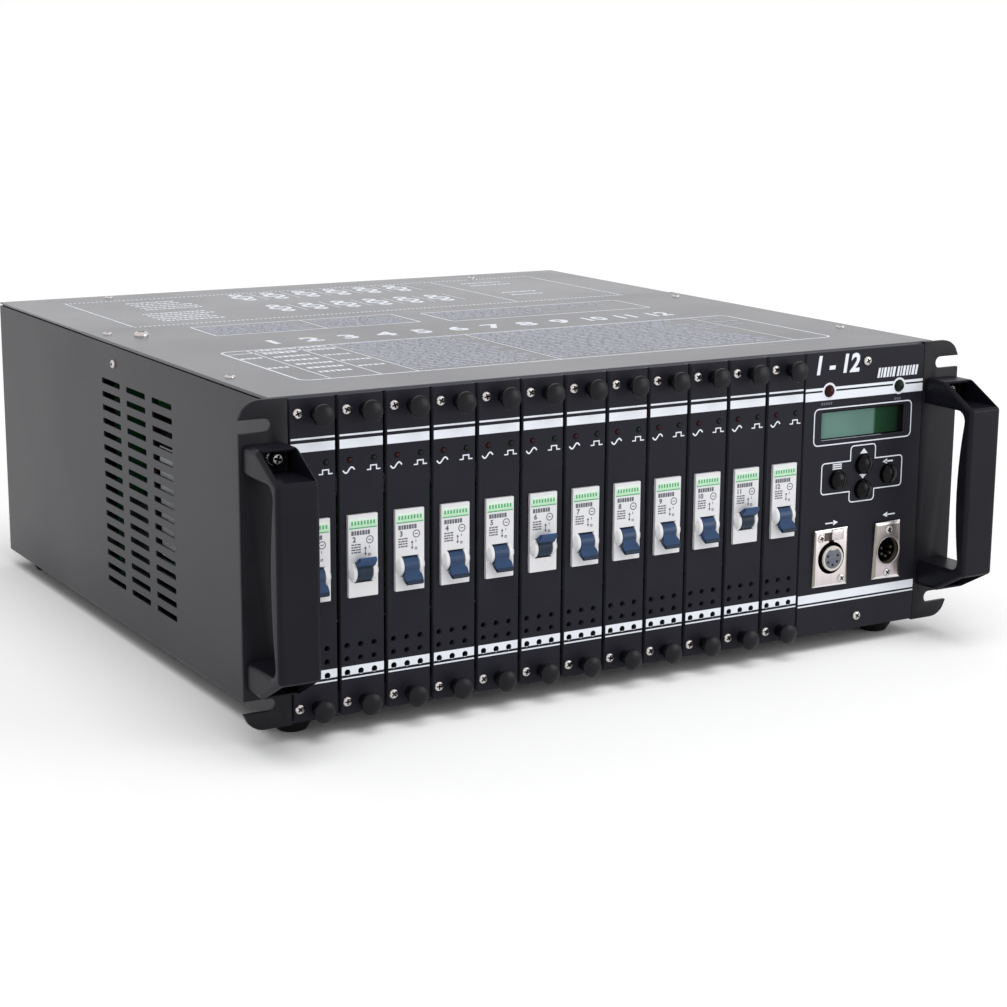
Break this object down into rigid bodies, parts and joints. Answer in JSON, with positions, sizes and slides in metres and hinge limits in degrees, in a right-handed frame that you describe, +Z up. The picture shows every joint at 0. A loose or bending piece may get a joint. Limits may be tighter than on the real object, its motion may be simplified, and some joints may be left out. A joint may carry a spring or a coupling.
{
  "type": "dimmer pack",
  "caption": "Rack-mounted stage lighting dimmer pack with plug-in modules behind circuit breakers, a keypad and display panel, side vents and two carrying handles.",
  "frame": {"origin": "middle of the bounding box seen from above, on the surface that the feet stand on", "axes": "+X to the right seen from the front, +Y to the rear, +Z up; the front panels face -Y"},
  "size_m": [0.4826, 0.5164, 0.186],
  "materials": {
    "grey_paint": "satin powder coat, dark grey",
    "black_paint": "satin powder coat, black",
    "handle_plastic": "moulded, lightly polished, black",
    "black_plastic": "moulded, black",
    "rubber": "matt, black",
    "zinc_plate": "zinc-plated sheet",
    "circuit_board": "green solder mask",
    "display_glass": "pale green display under clear glass",
    "nickel": "satin nickel plate",
    "button_plastic": "smooth, black",
    "module_metal": "satin powder coat, black, with bright aluminium inside",
    "breaker_plastic": "smooth, off-white",
    "lever_plastic": "smooth, dark blue"
  },
  "bodies": {
    "pack": {"chassis_tray": "grey_paint", "top_cover_front": "grey_paint", "top_cover_rear": "grey_paint", "rear_panel": "black_paint", "cable_gland": "black_plastic", "rack_ear_left": "black_paint", "rack_ear_right": "black_paint", "handle_left": "handle_plastic", "handle_right": "handle_plastic", "foot_front_left": "rubber", "foot_front_right": "rubber", "foot_rear_left": "rubber", "foot_rear_right": "rubber", "card_cage": "zinc_plate", "backplane": "circuit_board", "control_panel": "black_paint", "display": "display_glass", "control_board": "circuit_board", "output_connector": "nickel", "input_connector": "nickel"},
    "up_button": {"up_button": "button_plastic"},
    "down_button": {"down_button": "button_plastic"},
    "menu_button": {"menu_button": "button_plastic"},
    "escape_button": {"escape_button": "button_plastic"},
    "module_1": {"dimmer_module_1": "module_metal", "breaker_1": "breaker_plastic"},
    "lever_1": {"breaker_lever_1": "lever_plastic"},
    "module_2": {"dimmer_module_2": "module_metal", "breaker_2": "breaker_plastic"},
    "lever_2": {"breaker_lever_2": "lever_plastic"},
    "module_3": {"dimmer_module_3": "module_metal", "breaker_3": "breaker_plastic"},
    "lever_3": {"breaker_lever_3": "lever_plastic"},
    "module_4": {"dimmer_module_4": "module_metal", "breaker_4": "breaker_plastic"},
    "lever_4": {"breaker_lever_4": "lever_plastic"},
    "module_5": {"dimmer_module_5": "module_metal", "breaker_5": "breaker_plastic"},
    "lever_5": {"breaker_lever_5": "lever_plastic"},
    "module_6": {"dimmer_module_6": "module_metal", "breaker_6": "breaker_plastic"},
    "lever_6": {"breaker_lever_6": "lever_plastic"},
    "module_7": {"dimmer_module_7": "module_metal", "breaker_7": "breaker_plastic"},
    "lever_7": {"breaker_lever_7": "lever_plastic"},
    "module_8": {"dimmer_module_8": "module_metal", "breaker_8": "breaker_plastic"},
    "lever_8": {"breaker_lever_8": "lever_plastic"},
    "module_9": {"dimmer_module_9": "module_metal", "breaker_9": "breaker_plastic"},
    "lever_9": {"breaker_lever_9": "lever_plastic"},
    "module_10": {"dimmer_module_10": "module_metal", "breaker_10": "breaker_plastic"},
    "lever_10": {"breaker_lever_10": "lever_plastic"},
    "module_11": {"dimmer_module_11": "module_metal", "breaker_11": "breaker_plastic"},
    "lever_11": {"breaker_lever_11": "lever_plastic"},
    "module_12": {"dimmer_module_12": "module_metal", "breaker_12": "breaker_plastic"},
    "lever_12": {"breaker_lever_12": "lever_plastic"}
  },
  "joints": [
    {"name": "up_button_press", "type": "slide", "parent": "pack", "child": "up_button", "axis": [0, 1, 0], "range_m": [0, 0.0015], "stiffness_N_per_m": 200, "springref_m": -0.003},
    {"name": "down_button_press", "type": "slide", "parent": "pack", "child": "down_button", "axis": [0, 1, 0], "range_m": [0, 0.0015], "stiffness_N_per_m": 200, "springref_m": -0.003},
    {"name": "menu_button_press", "type": "slide", "parent": "pack", "child": "menu_button", "axis": [0, 1, 0], "range_m": [0, 0.0015], "stiffness_N_per_m": 200, "springref_m": -0.003},
    {"name": "escape_button_press", "type": "slide", "parent": "pack", "child": "escape_button", "axis": [0, 1, 0], "range_m": [0, 0.0015], "stiffness_N_per_m": 200, "springref_m": -0.003},
    {"name": "module_1_slide", "type": "slide", "parent": "pack", "child": "module_1", "axis": [0, -1, 0], "range_m": [0, 0.25]},
    {"name": "lever_1_tilt", "type": "hinge", "parent": "module_1", "child": "lever_1", "pos_m": [-0.1998, -0.21465, 0.0891], "axis": [-1, 0, 0], "range_deg": [0, 86]},
    {"name": "module_2_slide", "type": "slide", "parent": "pack", "child": "module_2", "axis": [0, -1, 0], "range_m": [0, 0.25]},
    {"name": "lever_2_tilt", "type": "hinge", "parent": "module_2", "child": "lever_2", "pos_m": [-0.1718, -0.21465, 0.0891], "axis": [-1, 0, 0], "range_deg": [-86, 0]},
    {"name": "module_3_slide", "type": "slide", "parent": "pack", "child": "module_3", "axis": [0, -1, 0], "range_m": [0, 0.25]},
    {"name": "lever_3_tilt", "type": "hinge", "parent": "module_3", "child": "lever_3", "pos_m": [-0.1438, -0.21465, 0.0891], "axis": [-1, 0, 0], "range_deg": [0, 86]},
    {"name": "module_4_slide", "type": "slide", "parent": "pack", "child": "module_4", "axis": [0, -1, 0], "range_m": [0, 0.25]},
    {"name": "lever_4_tilt", "type": "hinge", "parent": "module_4", "child": "lever_4", "pos_m": [-0.1158, -0.21465, 0.0891], "axis": [-1, 0, 0], "range_deg": [0, 86]},
    {"name": "module_5_slide", "type": "slide", "parent": "pack", "child": "module_5", "axis": [0, -1, 0], "range_m": [0, 0.25]},
    {"name": "lever_5_tilt", "type": "hinge", "parent": "module_5", "child": "lever_5", "pos_m": [-0.0878, -0.21465, 0.0891], "axis": [-1, 0, 0], "range_deg": [0, 86]},
    {"name": "module_6_slide", "type": "slide", "parent": "pack", "child": "module_6", "axis": [0, -1, 0], "range_m": [0, 0.25]},
    {"name": "lever_6_tilt", "type": "hinge", "parent": "module_6", "child": "lever_6", "pos_m": [-0.0598, -0.21465, 0.0891], "axis": [-1, 0, 0], "range_deg": [-86, 0]},
    {"name": "module_7_slide", "type": "slide", "parent": "pack", "child": "module_7", "axis": [0, -1, 0], "range_m": [0, 0.25]},
    {"name": "lever_7_tilt", "type": "hinge", "parent": "module_7", "child": "lever_7", "pos_m": [-0.0318, -0.21465, 0.0891], "axis": [-1, 0, 0], "range_deg": [0, 86]},
    {"name": "module_8_slide", "type": "slide", "parent": "pack", "child": "module_8", "axis": [0, -1, 0], "range_m": [0, 0.25]},
    {"name": "lever_8_tilt", "type": "hinge", "parent": "module_8", "child": "lever_8", "pos_m": [-0.0038, -0.21465, 0.0891], "axis": [-1, 0, 0], "range_deg": [0, 86]},
    {"name": "module_9_slide", "type": "slide", "parent": "pack", "child": "module_9", "axis": [0, -1, 0], "range_m": [0, 0.25]},
    {"name": "lever_9_tilt", "type": "hinge", "parent": "module_9", "child": "lever_9", "pos_m": [0.0242, -0.21465, 0.0891], "axis": [-1, 0, 0], "range_deg": [0, 86]},
    {"name": "module_10_slide", "type": "slide", "parent": "pack", "child": "module_10", "axis": [0, -1, 0], "range_m": [0, 0.25]},
    {"name": "lever_10_tilt", "type": "hinge", "parent": "module_10", "child": "lever_10", "pos_m": [0.0522, -0.21465, 0.0891], "axis": [-1, 0, 0], "range_deg": [0, 86]},
    {"name": "module_11_slide", "type": "slide", "parent": "pack", "child": "module_11", "axis": [0, -1, 0], "range_m": [0, 0.25]},
    {"name": "lever_11_tilt", "type": "hinge", "parent": "module_11", "child": "lever_11", "pos_m": [0.0802, -0.21465, 0.0891], "axis": [-1, 0, 0], "range_deg": [-86, 0]},
    {"name": "module_12_slide", "type": "slide", "parent": "pack", "child": "module_12", "axis": [0, -1, 0], "range_m": [0, 0.25]},
    {"name": "lever_12_tilt", "type": "hinge", "parent": "module_12", "child": "lever_12", "pos_m": [0.1082, -0.21465, 0.0891], "axis": [-1, 0, 0], "range_deg": [0, 86]}
  ]
}
